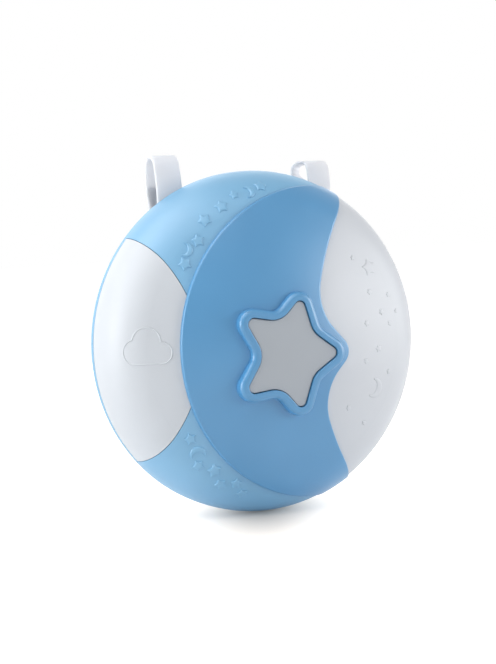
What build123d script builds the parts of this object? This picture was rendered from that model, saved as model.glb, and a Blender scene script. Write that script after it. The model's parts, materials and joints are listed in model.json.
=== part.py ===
from build123d import *
import os
from math import atan2, cos, degrees, hypot, radians, sin, sqrt

# Night light that hangs on a cot rail. Sizes in millimetres.
# Frame: origin at the centre of the flat back, front towards -Y, +Z up, +X right as seen from the front.
# A "depth" is measured forward from the back, a "height" forward from the rim plane where the shells meet.

# Housing
RIM_RADIUS = 100.0
REAR_DEPTH = 22.0
REAR_TAPER = 9.5
REAR_ROUND = 8.0
RIM_BAND = 5.0
DOME_HEIGHT = 46.6
KNUCKLE_RADIUS = 30.0
WALL = 2.2
LIP_WALL = 1.6
LIP_REACH = 2.5
LIP_ROOT = 4.5
LIP_GAP = 0.2

# Windows and the white pieces in them
LEFT_EDGE_X = -49.5
LEFT_RADIUS = 89.0
RIM_LIP = 3.5
PANEL_GAP = 0.4
SEAT_GAP = 0.1
FLANGE_LAP = 3.0
FLANGE_WIDTH = 4.0
FLANGE_THICK = 1.6
FLANGE_BASE = 5.5

# Crescent cover
CRESCENT_Z = -1.2
COVER_EDGE_X = -61.2
COVER_RADIUS = 91.2
COVER_RISE = 2.2
COVER_GAP = 0.1
COVER_LAP = 4.0
COVER_EDGE = 1.3
CUT_EDGE_X = 20.6
CUT_RADIUS = 127.0
HORN_ROUND = 2.5
HORN_INSET = 1.0
NOSE_Z = -6.4
NOSE_REACH = 41.6
NOSE_ROUND = 9.0
NOSE_HALF_ANGLE = 47.0
NOSE_BLEND = 28.0

# Star button, its ring and its well; radii of the star's corners before rounding, from its side tip round
STAR_X = 0.6
STAR_Z = -5.6
STAR_TURN = -1.7
SIDE_TIP = 32.5
SIDE_VALLEY = 19.5
UPPER_TIP = 34.2
UPPER_VALLEY = 19.3
REAR_TIP = 36.0
REAR_VALLEY = 15.0
STAR_ANGLES = (0.0, 37.8, 75.8, 105.1, 142.0, 180.0)
TIP_ROUND = 3.4
VALLEY_ROUND = 13.0
STAR_RISE = 4.1
STAR_EDGE = 0.5
CAP_THICK = 3.0
SKIRT_WALL = 2.0
RING_PROUD = 1.3
RING_WIDTH = 5.0
RING_EDGE = 2.7
RING_INNER_EDGE = 0.5
WELL_GAP = 0.4
WELL_WALL = 2.0
WELL_DEPTH = 14.0
WELL_CLEAR = 0.5
BUTTON_FLANGE_LAP = 1.6
BUTTON_FLANGE_THICK = 1.8
BUTTON_STOP_GAP = 0.2
BUTTON_TRAVEL = 2.0
STEM_RADIUS = 4.0

# Circuit board and what sits on it
BOARD_HEIGHT = 16.0
BOARD_THICK = 1.6
BOARD_X = 150.0
BOARD_Z = 36.0
BOARD_CORNER = 3.0
POST_X = 44.0
POST_Z = 13.0
POST_RADIUS = 3.5
PAD_SPARE = 2.5
PAD_BASE_RADIUS = 8.0
PAD_TOP_RADIUS = 5.0
PAD_FOOT = 1.2
PAD_NECK = 4.5
PAD_WALL = 1.2
PAD_CROWN = 2.5
PAD_GAP = 0.2
LED_X = 64.0
LED_PITCH = 11.0
LED_ROWS = 3
LED_SIZE = 5.0
LED_THICK = 1.6
LED_EYE_RADIUS = 1.9
LED_EYE = 0.5
CHIP_X = -24.0
CHIP_Z = 7.0
CHIP_LENGTH = 10.0
CHIP_WIDTH = 6.0
CHIP_THICK = 1.7

# Screws: shaft and head radii, head thickness and length under the head
SCREW_RADIUS = 1.5
SCREW_GAP = 0.05
SCREW_CLEAR = 0.25
SCREW_HEAD_RADIUS = 2.8
SCREW_HEAD_THICK = 2.0
SCREW_SLOT = 0.8
SCREW_SLOT_DEPTH = 0.9
BOARD_SCREW_LENGTH = 8.0
COVER_SCREW_LENGTH = 4.0
SHELL_SCREW_LENGTH = 16.0
DOOR_SCREW_LENGTH = 4.0
DOOR_SCREW_CLEAR = 0.35
SHELL_SCREW_X = 24.0
SHELL_SCREW_INSET = 32.0
SHELL_BOSS_RADIUS = 5.0
SHELL_SEAT = 6.0
HEAD_CLEAR = 0.5
PILOT_EXTRA = 1.5
COVER_SCREW_SIDE_X = -38.0
COVER_SCREW_SIDE_HIGH = 12.0
COVER_SCREW_SIDE_LOW = -23.0
COVER_SCREW_END_X = 2.0
COVER_SCREW_END_HIGH = 52.0
COVER_SCREW_END_LOW = -62.0
COVER_BOSS_RADIUS = 2.5
COVER_BOSS_CLEAR = 0.3
COVER_PAD_RADIUS = 5.0
COVER_PAD = 2.0

# Battery box, cells and door
CELL_RADIUS = 7.1
CELL_LENGTH = 49.2
CELL_NUB_RADIUS = 2.75
CELL_NUB = 1.0
CELL_PITCH = 15.0
CELL_COUNT = 3
CELL_GAP = 0.3
CONTACT_SPACE = 3.4
CONTACT_THICK = 0.5
CONTACT_WIDTH = 11.0
CONTACT_HEIGHT = 11.0
CONTACT_BUMP_RADIUS = 2.6
CONTACT_TAB_WIDTH = 3.0
CONTACT_TAB_REACH = 3.0
SLIT_GAP = 0.3
BOX_WALL = 1.8
BOX_SIDE_GAP = 0.6
DOOR_THICK = 1.8
DOOR_SET = 0.4
DOOR_GAP = 0.3
DOOR_LEDGE = 3.0
LEDGE_LAP = 3.0
LEDGE_THICK = 1.8
DOOR_TAIL = 10.0
DOOR_CORNER = 3.0
TAB_X = 16.0
TAB_WIDTH = 9.0
TAB_REACH = 2.6
TAB_ROOT = 3.0
TAB_THICK = 1.3
TAB_GAP = 0.15
TAB_SLOT_GAP = 0.6
TAB_SLOT_DROP = 1.4
DOOR_BOSS_RADIUS = 4.0
DOOR_BOSS_LAP = 1.0
DOOR_HEAD_SINK = 1.1

# Slide switch in the back
SWITCH_X = 55.0
SWITCH_Z = 0.0
SWITCH_LENGTH = 16.0
SWITCH_WIDTH = 8.0
SWITCH_HEIGHT = 7.0
KNOB_WIDTH = 5.0
KNOB_LENGTH = 6.0
KNOB_SET = 0.3
KNOB_GAP = 0.3
KNOB_SEAT_GAP = 0.1
KNOB_TRAVEL = 5.0
KNOB_STEM = 2.0
KNOB_STEM_REACH = 2.4
KNOB_RIB = 0.6
KNOB_RIB_PITCH = 1.4

# Straps, their pins and the recesses for them in the rear shell
STRAP_SPREAD = 0.481
STRAP_WIDTH = 16.0
STRAP_THICK = 1.6
STRAP_SIDE_GAP = 1.5
BAR_RADIUS = 2.0
BAR_GAP = 0.3
BAR_SETBACK = 7.0
BAR_INSET = 29.0
BAR_FIT = 0.05
POCKET_WALL = 2.0
POCKET_FRONT_WALL = 1.0
POCKET_DROP = 11.0
LOOP_FRONT_RADIUS = 63.0
LOOP_REAR_RADIUS = 45.0
LEFT_LOOP_RISE = 11.0
LEFT_LOOP_ROUND = 6.9
RIGHT_LOOP_RISE = 5.0
RIGHT_LOOP_ROUND = 6.0
LOOP_LEAN = 5.0
CLOSURE_THICK = 1.2
CLOSURE_GAP = 0.05
CLOSURE_ANGLE = 18.0
CLOSURE_INSET = 0.5

# Wires
LEAD_RADIUS = 0.8
LEAD_GAP = 0.1
LEAD_BEND = 4.0
LEAD_SHIFT = 6.0

# Values worked out from the sizes above
REAR_SLOPE = REAR_TAPER / REAR_DEPTH
LEFT_CENTRE = (LEFT_EDGE_X - LEFT_RADIUS, 0)
COVER_CENTRE_X = COVER_EDGE_X + COVER_RADIUS
CUT_CENTRE = (CUT_EDGE_X + CUT_RADIUS, CRESCENT_Z)
KNUCKLE_X = RIM_RADIUS - KNUCKLE_RADIUS
KNUCKLE_RISE = DOME_HEIGHT - RIM_BAND
CROWN_RADIUS = (KNUCKLE_X**2 + KNUCKLE_RISE**2 - KNUCKLE_RADIUS**2) / (2 * (KNUCKLE_RISE - KNUCKLE_RADIUS))
KNUCKLE_CENTRE = (KNUCKLE_X, -(REAR_DEPTH + RIM_BAND))
CROWN_CENTRE = (0.0, CROWN_RADIUS - DOME_HEIGHT - REAR_DEPTH)
KNUCKLE_ANGLE = degrees(atan2(CROWN_CENTRE[1] - KNUCKLE_CENTRE[1], KNUCKLE_X))
WINDOW_RADIUS = CUT_RADIUS + COVER_LAP
PAST = 1.0

BOARD_BACK = REAR_DEPTH + BOARD_HEIGHT
BOARD_FRONT = BOARD_BACK + BOARD_THICK
STAR_FACE = DOME_HEIGHT + STAR_RISE
RING_TOP = STAR_FACE + RING_PROUD
WELL_BOTTOM = RING_TOP - WELL_DEPTH
STAR_RADII = (SIDE_TIP, SIDE_VALLEY, UPPER_TIP, UPPER_VALLEY, REAR_TIP, REAR_VALLEY)
TIP_LIMIT = (min(STAR_RADII[::2]) + max(STAR_RADII[1::2])) / 2
BUTTON_LOW = WELL_BOTTOM - BUTTON_STOP_GAP - BUTTON_FLANGE_THICK
PAD_TOP_HEIGHT = PAD_CROWN + BUTTON_TRAVEL + PAD_SPARE
STEM_END = BOARD_HEIGHT + BOARD_THICK + PAD_TOP_HEIGHT + PAD_GAP
PILOT_RADIUS = SCREW_RADIUS + SCREW_GAP
CLEAR_RADIUS = SCREW_RADIUS + SCREW_CLEAR

BOX_X = CELL_LENGTH + CELL_NUB + 2 * CONTACT_SPACE
BOX_Z = (CELL_COUNT - 1) * CELL_PITCH + 2 * (CELL_RADIUS + BOX_SIDE_GAP)
CELL_DEPTH = DOOR_SET + DOOR_THICK + CELL_GAP + CELL_RADIUS
BOX_DEPTH = CELL_DEPTH + CELL_RADIUS + CELL_GAP
DOOR_X = BOX_X + 2 * DOOR_LEDGE
DOOR_TOP = BOX_Z / 2 + BOX_WALL + TAB_SLOT_DROP + TAB_ROOT + TAB_REACH
DOOR_BOTTOM = -BOX_Z / 2 - DOOR_TAIL
DOOR_Z = DOOR_TOP - DOOR_BOTTOM
DOOR_MID_Z = (DOOR_TOP + DOOR_BOTTOM) / 2
DOOR_SCREW_Z = -BOX_Z / 2 - BOX_WALL - DOOR_BOSS_RADIUS + DOOR_BOSS_LAP
DOOR_INNER = DOOR_SET + DOOR_THICK
TAB_SLOT_LOW = DOOR_TOP - TAB_ROOT - TAB_SLOT_DROP
TAB_SLOT_TOP = DOOR_TOP + TAB_REACH + TAB_SLOT_GAP
TAB_SLOT_MID = (TAB_SLOT_LOW + TAB_SLOT_TOP) / 2

STRAP_X = RIM_RADIUS * STRAP_SPREAD
BAR_DEPTH = REAR_DEPTH - BAR_SETBACK
BAR_Z = RIM_RADIUS - BAR_INSET
LEFT_LOOP_TOP = RIM_RADIUS + LEFT_LOOP_RISE
RIGHT_LOOP_TOP = RIM_RADIUS + RIGHT_LOOP_RISE
POCKET_WIDTH = STRAP_WIDTH + 2 * STRAP_SIDE_GAP
POCKET_FLOOR = BAR_Z - POCKET_DROP
LOOP_FOOT = BAR_RADIUS + BAR_GAP + STRAP_THICK / 2

SHELL_SCREW_Z = RIM_RADIUS - SHELL_SCREW_INSET
SHELL_SCREWS = [(x, z) for x in (-SHELL_SCREW_X, SHELL_SCREW_X) for z in (-SHELL_SCREW_Z, SHELL_SCREW_Z)]
BOARD_SCREWS = [(x, z) for x in (-POST_X, POST_X) for z in (-POST_Z, POST_Z)]
COVER_SCREWS = (
    (COVER_SCREW_SIDE_X, COVER_SCREW_SIDE_HIGH),
    (COVER_SCREW_SIDE_X, COVER_SCREW_SIDE_LOW),
    (COVER_SCREW_END_X, COVER_SCREW_END_HIGH),
    (COVER_SCREW_END_X, COVER_SCREW_END_LOW),
)
CELL_ROWS = [(row - (CELL_COUNT - 1) / 2) * CELL_PITCH for row in range(CELL_COUNT)]


def at_depth(depth):
    """Plane across the light at a depth from the back, facing forward."""
    return Plane.XZ.offset(depth)


def at_height(height):
    """Plane across the light at a height above the rim plane, facing forward."""
    return at_depth(REAR_DEPTH + height)


def dome_height(x, z):
    """Height of the front shell's outer skin above the rim plane."""
    radius = hypot(x, z)
    tangent = CROWN_RADIUS * cos(radians(KNUCKLE_ANGLE))
    if radius < tangent:
        return sqrt(CROWN_RADIUS**2 - radius**2) - CROWN_RADIUS + DOME_HEIGHT
    return RIM_BAND + sqrt(KNUCKLE_RADIUS**2 - (radius - KNUCKLE_X) ** 2)


def dome_body(inset, lift=0.0):
    """Solid under the front skin, set in from it and moved forward by lift."""
    with BuildPart() as body:
        with BuildSketch(Plane.XY):
            with BuildLine():
                knuckle = CenterArc(KNUCKLE_CENTRE, KNUCKLE_RADIUS - inset, 0, -KNUCKLE_ANGLE)
                crown = CenterArc(CROWN_CENTRE, CROWN_RADIUS - inset, -KNUCKLE_ANGLE, KNUCKLE_ANGLE - 90)
                Polyline(crown @ 1, (0, -REAR_DEPTH), (RIM_RADIUS - inset, -REAR_DEPTH), knuckle @ 0)
            make_face()
        revolve(axis=Axis.Y)
    return body.part.moved(Location((0, -lift, 0)))


def rear_body(inset):
    """Solid inside the tapered rear skin, set in from it, up to the rim plane."""
    rim = RIM_RADIUS - inset * sqrt(1 + REAR_SLOPE**2)
    shoulder = (rim - REAR_SLOPE * (REAR_DEPTH - inset), -inset)
    with BuildPart() as body:
        with BuildSketch(Plane.XY) as section:
            Polygon((0, -REAR_DEPTH), (rim, -REAR_DEPTH), shoulder, (0, -inset), align=None)
            fillet(section.vertices().sort_by_distance(shoulder)[0], REAR_ROUND - inset)
        revolve(axis=Axis.Y)
    return body.part


def star_outline(grow):
    """Rounded star of the button, widened by grow all round."""
    half = list(zip(STAR_RADII, STAR_ANGLES))
    mirrored = [(radius, -angle) for radius, angle in reversed(half[1:-1])]
    points = []
    for radius, angle in half + mirrored:
        turned = radians(angle + STAR_TURN)
        points.append((radius * cos(turned), radius * sin(turned)))
    with BuildSketch() as outline:
        Polygon(*points, align=None)
        inner = outline.vertices().filter_by(lambda corner: hypot(corner.X, corner.Y) < TIP_LIMIT)
        fillet(inner, VALLEY_ROUND)
        tip_limit = min(STAR_RADII[::2]) - TIP_ROUND / 2
        outer = outline.vertices().filter_by(lambda corner: hypot(corner.X, corner.Y) > tip_limit)
        fillet(outer, TIP_ROUND)
        if grow:
            offset(amount=grow)
    return outline.sketch.moved(Location((STAR_X, STAR_Z)))


def star_column(grow, low, high):
    """Star-shaped column between two heights."""
    outline = star_outline(grow)
    with BuildPart() as column:
        with BuildSketch(at_height(low)):
            add(outline)
        extrude(amount=high - low)
    return column.part


def disc_column(centre, radius, low):
    """Round column from a height up past the dome."""
    with BuildPart() as column:
        with BuildSketch(at_height(low)):
            with Locations(centre):
                Circle(radius)
        extrude(amount=DOME_HEIGHT + PAST)
    return column.part


def crescent_outline():
    """Crescent of the cover, with a nose round the star's side tip."""
    slope = radians(NOSE_HALF_ANGLE)
    apex = NOSE_REACH + NOSE_ROUND * (1 / sin(slope) - 1)
    spread = (apex - STAR_X) * sin(slope) / cos(slope)
    nose_root = CUT_EDGE_X
    nose_zone = NOSE_REACH + NOSE_ROUND
    with BuildSketch() as outline:
        with Locations((COVER_CENTRE_X, CRESCENT_Z)):
            Circle(COVER_RADIUS)
        Circle(RIM_RADIUS - HORN_INSET, mode=Mode.INTERSECT)
        with Locations(CUT_CENTRE):
            Circle(CUT_RADIUS, mode=Mode.SUBTRACT)
        Polygon((apex, NOSE_Z), (STAR_X, NOSE_Z + spread), (STAR_X, NOSE_Z - spread), align=None)
        for low, high, rounding in (
            (nose_zone, RIM_RADIUS, HORN_ROUND),
            (NOSE_ROUND, nose_zone, NOSE_BLEND),
            (0, NOSE_ROUND, NOSE_ROUND),
        ):
            sharp = outline.vertices().filter_by(
                lambda corner: corner.X > nose_root and low <= abs(corner.Y - NOSE_Z) < high
            )
            fillet(sharp, rounding)
    return outline.sketch


def screws(points, seat, side, length, head_radius=SCREW_HEAD_RADIUS, head_thick=SCREW_HEAD_THICK):
    """Screws at points, head on the seat depth; side 1 heads point forward, side -1 backward."""
    with BuildPart() as group:
        with BuildSketch(at_depth(seat)):
            with Locations(*points):
                Circle(head_radius)
        extrude(amount=side * head_thick)
        with BuildSketch(at_depth(seat)):
            with Locations(*points):
                Circle(SCREW_RADIUS)
        extrude(amount=-side * length)
        with BuildSketch(at_depth(seat + side * head_thick)):
            with Locations(*points):
                Rectangle(2 * SCREW_RADIUS, SCREW_SLOT)
                Rectangle(SCREW_SLOT, 2 * SCREW_RADIUS)
        extrude(amount=-side * SCREW_SLOT_DEPTH, mode=Mode.SUBTRACT)
    return group.part


def cover_pad_height(x, z):
    """Height of the flat pad under the front shell that a cover screw seats on."""
    return dome_height(x, z) - WALL - COVER_PAD


DOME_OUTER = dome_body(0)
DOME_INNER = dome_body(WALL)
os.makedirs("parts", exist_ok=True)


# Front shell: bosses for the shell screws and flat pads for the cover screws, then the domed wall
with BuildPart() as front_bosses:
    with BuildSketch(at_height(0)):
        with Locations(*SHELL_SCREWS):
            Circle(SHELL_BOSS_RADIUS)
    extrude(amount=DOME_HEIGHT)
    for screw_x, screw_z in COVER_SCREWS:
        with BuildSketch(at_height(cover_pad_height(screw_x, screw_z))):
            with Locations((screw_x, screw_z)):
                Circle(COVER_PAD_RADIUS)
        extrude(amount=DOME_HEIGHT)
    add(dome_body(WALL / 2), mode=Mode.INTERSECT)

STAR_HOLE = star_column(WELL_GAP + WELL_WALL + WELL_CLEAR, 0, RING_TOP)

with BuildPart() as front_shell:
    add(DOME_OUTER)
    add(DOME_INNER, mode=Mode.SUBTRACT)
    add(front_bosses.part)
    add(disc_column(LEFT_CENTRE, LEFT_RADIUS, RIM_LIP), mode=Mode.SUBTRACT)
    add(disc_column(CUT_CENTRE, WINDOW_RADIUS, RIM_LIP), mode=Mode.SUBTRACT)
    add(STAR_HOLE, mode=Mode.SUBTRACT)
    with BuildSketch(at_height(0)):
        with Locations(*COVER_SCREWS):
            Circle(COVER_BOSS_RADIUS + COVER_BOSS_CLEAR)
    extrude(amount=DOME_HEIGHT, mode=Mode.SUBTRACT)
    with BuildSketch(at_height(0)):
        with Locations(*SHELL_SCREWS):
            Circle(PILOT_RADIUS)
    extrude(amount=SHELL_SCREW_LENGTH - SHELL_SEAT + PILOT_EXTRA, mode=Mode.SUBTRACT)
front_shell.part.label = "front_shell"
export_step(front_shell.part, "parts/front_shell.step")


# White pieces: a skin flush with the dome, and a flange behind the edge of the window
def window_insert(centre, radius):
    with BuildPart() as plug:
        add(disc_column(centre, radius - PANEL_GAP, FLANGE_BASE))
        add(DOME_OUTER, mode=Mode.INTERSECT)
    with BuildPart() as relief:
        add(disc_column(centre, radius - FLANGE_WIDTH, 0))
        add(DOME_INNER, mode=Mode.INTERSECT)
    with BuildPart() as skin:
        add(disc_column(centre, radius - PANEL_GAP, RIM_LIP + PANEL_GAP))
        add(DOME_OUTER, mode=Mode.INTERSECT)
        add(DOME_INNER, mode=Mode.SUBTRACT)
    with BuildPart() as insert:
        add(disc_column(centre, radius + FLANGE_LAP, FLANGE_BASE))
        add(dome_body(WALL + SEAT_GAP), mode=Mode.INTERSECT)
        add(plug.part)
        add(dome_body(WALL + SEAT_GAP + FLANGE_THICK), mode=Mode.SUBTRACT)
        add(relief.part, mode=Mode.SUBTRACT)
        add(skin.part)
    return insert.part


with BuildPart() as left_panel:
    add(window_insert(LEFT_CENTRE, LEFT_RADIUS))
left_panel.part.label = "left_panel"
export_step(left_panel.part, "parts/left_panel.step")

with BuildPart() as right_lens:
    add(window_insert(CUT_CENTRE, WINDOW_RADIUS))
    add(STAR_HOLE, mode=Mode.SUBTRACT)
right_lens.part.label = "right_lens"
export_step(right_lens.part, "parts/right_lens.step")


# Crescent cover: star ring, raised skin, well for the button and screw bosses
DOME_CLEAR = dome_body(-COVER_GAP)

with BuildPart() as star_ring:
    add(star_column(WELL_GAP + RING_WIDTH, WELL_BOTTOM, RING_TOP))
    add(star_column(WELL_GAP, WELL_BOTTOM, RING_TOP), mode=Mode.SUBTRACT)
    ring_face = star_ring.faces().sort_by(Axis.Y)[0]
    fillet(ring_face.outer_wire().edges(), RING_EDGE)
    ring_face = star_ring.faces().sort_by(Axis.Y)[0]
    fillet(ring_face.inner_wires()[0].edges(), RING_INNER_EDGE)
    add(DOME_CLEAR, mode=Mode.SUBTRACT)

with BuildPart() as well:
    add(star_column(WELL_GAP + WELL_WALL, WELL_BOTTOM, RING_TOP - RING_EDGE))
    add(star_column(WELL_GAP, WELL_BOTTOM, RING_TOP), mode=Mode.SUBTRACT)

CRESCENT = crescent_outline()


def on_outline(edge):
    """True for an edge where the cover's outer skin meets its outline."""
    middle = edge @ 0.5
    on_skin = abs(-middle.Y - REAR_DEPTH - COVER_RISE - dome_height(middle.X, middle.Z)) < COVER_GAP
    return on_skin and Vertex(middle.X, middle.Z, 0).distance_to(CRESCENT.wire()) < COVER_GAP


with BuildPart() as crescent_cover:
    with BuildSketch(at_height(0)):
        add(CRESCENT)
    extrude(amount=RING_TOP)
    add(dome_body(0, COVER_RISE), mode=Mode.INTERSECT)
    add(DOME_CLEAR, mode=Mode.SUBTRACT)
    rim_edges = crescent_cover.edges().filter_by(on_outline)
    fillet(rim_edges, COVER_EDGE)
    add(star_column(WELL_GAP, 0, RING_TOP), mode=Mode.SUBTRACT)
    add(star_ring.part)
    add(well.part)
    for screw_x, screw_z in COVER_SCREWS:
        boss_end = cover_pad_height(screw_x, screw_z) + COVER_BOSS_CLEAR
        with BuildSketch(at_height(boss_end)):
            with Locations((screw_x, screw_z)):
                Circle(COVER_BOSS_RADIUS)
        extrude(amount=dome_height(screw_x, screw_z) + COVER_RISE / 2 - boss_end)
        with BuildSketch(at_height(boss_end)):
            with Locations((screw_x, screw_z)):
                Circle(PILOT_RADIUS)
        extrude(amount=COVER_SCREW_LENGTH, mode=Mode.SUBTRACT)
crescent_cover.part.label = "crescent_cover"
export_step(crescent_cover.part, "parts/crescent_cover.step")

with BuildPart() as cover_screws:
    for screw_x, screw_z in COVER_SCREWS:
        seat = REAR_DEPTH + cover_pad_height(screw_x, screw_z)
        add(screws([(screw_x, screw_z)], seat, -1, COVER_SCREW_LENGTH, COVER_PAD_RADIUS - HEAD_CLEAR))
cover_screws.part.label = "cover_screws"
export_step(cover_screws.part, "parts/cover_screws.step")


# Star button: cap, skirt, stop flange and the stem that presses the dome
with BuildPart() as star_button:
    add(star_column(0, BUTTON_LOW, STAR_FACE))
    cap_face = star_button.faces().sort_by(Axis.Y)[0]
    fillet(cap_face.edges(), STAR_EDGE)
    add(star_column(BUTTON_FLANGE_LAP, BUTTON_LOW, BUTTON_LOW + BUTTON_FLANGE_THICK))
    add(star_column(-SKIRT_WALL, BUTTON_LOW, STAR_FACE - CAP_THICK), mode=Mode.SUBTRACT)
    with BuildSketch(at_height(STEM_END)):
        with Locations((STAR_X, STAR_Z)):
            Circle(STEM_RADIUS)
    extrude(amount=STAR_FACE - CAP_THICK - STEM_END)
star_button.part.label = "star_button"
export_step(star_button.part, "parts/star_button.step")


# Silicone dome under the stem
with BuildPart() as rubber_dome:
    with BuildSketch(Plane.XY.offset(STAR_Z)):
        with BuildLine():
            foot = -BOARD_FRONT
            crown = foot - PAD_TOP_HEIGHT
            Polyline(
                (STAR_X, crown),
                (STAR_X + PAD_TOP_RADIUS, crown),
                (STAR_X + PAD_TOP_RADIUS, foot - PAD_NECK),
                (STAR_X + PAD_BASE_RADIUS, foot - PAD_FOOT),
                (STAR_X + PAD_BASE_RADIUS, foot),
                (STAR_X + PAD_BASE_RADIUS - PAD_WALL, foot),
                (STAR_X + PAD_TOP_RADIUS - PAD_WALL, foot - PAD_NECK + PAD_WALL),
                (STAR_X + PAD_TOP_RADIUS - PAD_WALL, crown + PAD_CROWN),
                (STAR_X, crown + PAD_CROWN),
                close=True,
            )
        make_face()
    revolve(axis=Axis((STAR_X, 0, STAR_Z), (0, 1, 0)))
rubber_dome.part.label = "rubber_dome"
export_step(rubber_dome.part, "parts/rubber_dome.step")


# Circuit board, light sources, chip and board screws
with BuildPart() as main_board:
    with BuildSketch(at_depth(BOARD_BACK)):
        RectangleRounded(BOARD_X, BOARD_Z, BOARD_CORNER)
        with Locations(*BOARD_SCREWS):
            Circle(CLEAR_RADIUS, mode=Mode.SUBTRACT)
    extrude(amount=BOARD_THICK)
main_board.part.label = "main_board"
export_step(main_board.part, "parts/main_board.step")

with BuildPart() as leds:
    with BuildSketch(at_depth(BOARD_FRONT)):
        with GridLocations(2 * LED_X, LED_PITCH, 2, LED_ROWS):
            Rectangle(LED_SIZE, LED_SIZE)
    extrude(amount=LED_THICK)
    with BuildSketch(at_depth(BOARD_FRONT + LED_THICK)):
        with GridLocations(2 * LED_X, LED_PITCH, 2, LED_ROWS):
            Circle(LED_EYE_RADIUS)
    extrude(amount=LED_EYE)
leds.part.label = "leds"
export_step(leds.part, "parts/leds.step")

with BuildPart() as controller_chip:
    with BuildSketch(at_depth(BOARD_FRONT)):
        with Locations((CHIP_X, CHIP_Z)):
            Rectangle(CHIP_LENGTH, CHIP_WIDTH)
    extrude(amount=CHIP_THICK)
controller_chip.part.label = "controller_chip"
export_step(controller_chip.part, "parts/controller_chip.step")

with BuildPart() as board_screws:
    add(screws(BOARD_SCREWS, BOARD_FRONT, 1, BOARD_SCREW_LENGTH))
board_screws.part.label = "board_screws"
export_step(board_screws.part, "parts/board_screws.step")


# Rear shell: recess blocks for the straps and posts inside, then the wall with its openings
REAR_OUTER = rear_body(0)
REAR_INNER = rear_body(WALL)

with BuildPart() as strap_blocks:
    with BuildSketch(at_depth(0)):
        with Locations((-STRAP_X, RIM_RADIUS), (STRAP_X, RIM_RADIUS)):
            Rectangle(POCKET_WIDTH + 2 * POCKET_WALL, 2 * (RIM_RADIUS - POCKET_FLOOR + POCKET_WALL))
    extrude(amount=REAR_DEPTH)
    add(REAR_OUTER, mode=Mode.INTERSECT)

with BuildPart() as rear_lip:
    with BuildSketch(at_depth(REAR_DEPTH - LIP_ROOT)):
        Circle(RIM_RADIUS - WALL)
        Circle(RIM_RADIUS - WALL - LIP_GAP - LIP_WALL, mode=Mode.SUBTRACT)
    extrude(amount=LIP_ROOT)
    with BuildSketch(at_depth(REAR_DEPTH)):
        Circle(RIM_RADIUS - WALL - LIP_GAP)
        Circle(RIM_RADIUS - WALL - LIP_GAP - LIP_WALL, mode=Mode.SUBTRACT)
    extrude(amount=LIP_REACH)

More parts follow.
